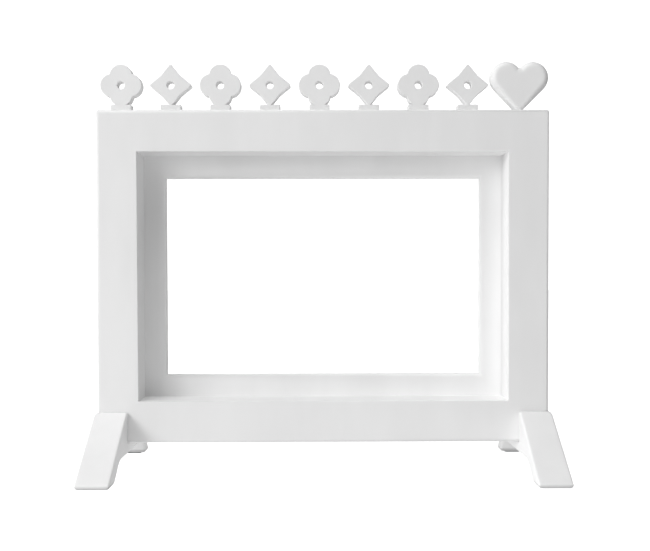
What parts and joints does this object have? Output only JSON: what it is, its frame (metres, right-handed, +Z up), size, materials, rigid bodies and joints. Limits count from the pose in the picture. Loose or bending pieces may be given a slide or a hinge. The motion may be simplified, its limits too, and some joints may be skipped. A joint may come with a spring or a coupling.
{
  "type": "free-standing picture frame",
  "caption": "Deep box picture frame on two saddle feet, with clear panes held by turn buttons at the back and a row of upright ornaments and a puffed heart on the top rail.",
  "frame": {"origin": "on the table, under the middle of the whole part's width and depth; the middle of the frame's own depth lies 6 mm behind it, because the feet reach further to the front than to the back", "axes": "+X along the frame to the right as seen from the front, +Y from the face to the back, +Z up"},
  "size_m": [0.191, 0.0803, 0.1718],
  "materials": {
    "white_abs": "satin moulded",
    "ornament_abs": "satin moulded",
    "clear_acrylic": "polished, clear",
    "zinc_steel": "zinc plated",
    "pad_rubber": "matte, self-adhesive"
  },
  "bodies": {
    "frame": {"front_casing": "white_abs", "rear_casing": "white_abs", "casing_screws": "zinc_steel", "front_pane": "clear_acrylic", "rear_pane": "clear_acrylic", "retaining_frame": "white_abs", "turn_button_washers": "zinc_steel", "turn_button_screws": "zinc_steel", "left_foot": "white_abs", "right_foot": "white_abs", "foot_screws": "zinc_steel", "foot_pads": "pad_rubber", "ornament_1": "ornament_abs", "ornament_2": "ornament_abs", "ornament_3": "ornament_abs", "ornament_4": "ornament_abs", "ornament_5": "ornament_abs", "ornament_6": "ornament_abs", "ornament_7": "ornament_abs", "ornament_8": "ornament_abs", "heart": "ornament_abs"},
    "button_1": {"turn_button_1": "zinc_steel"},
    "button_2": {"turn_button_2": "zinc_steel"},
    "button_3": {"turn_button_3": "zinc_steel"},
    "button_4": {"turn_button_4": "zinc_steel"},
    "button_5": {"turn_button_5": "zinc_steel"},
    "button_6": {"turn_button_6": "zinc_steel"}
  },
  "joints": [
    {"name": "button_1_turn", "type": "hinge", "parent": "frame", "child": "button_1", "pos_m": [-0.0859, 0.0182, 0.0815], "axis": [0, 1, 0], "continuous": true},
    {"name": "button_2_turn", "type": "hinge", "parent": "frame", "child": "button_2", "pos_m": [0.0859, 0.0182, 0.0815], "axis": [0, 1, 0], "continuous": true},
    {"name": "button_3_turn", "type": "hinge", "parent": "frame", "child": "button_3", "pos_m": [-0.034, 0.0182, 0.14225], "axis": [0, 1, 0], "continuous": true},
    {"name": "button_4_turn", "type": "hinge", "parent": "frame", "child": "button_4", "pos_m": [0.034, 0.0182, 0.14225], "axis": [0, 1, 0], "continuous": true},
    {"name": "button_5_turn", "type": "hinge", "parent": "frame", "child": "button_5", "pos_m": [-0.034, 0.0182, 0.02075], "axis": [0, 1, 0], "continuous": true},
    {"name": "button_6_turn", "type": "hinge", "parent": "frame", "child": "button_6", "pos_m": [0.034, 0.0182, 0.02075], "axis": [0, 1, 0], "continuous": true}
  ]
}
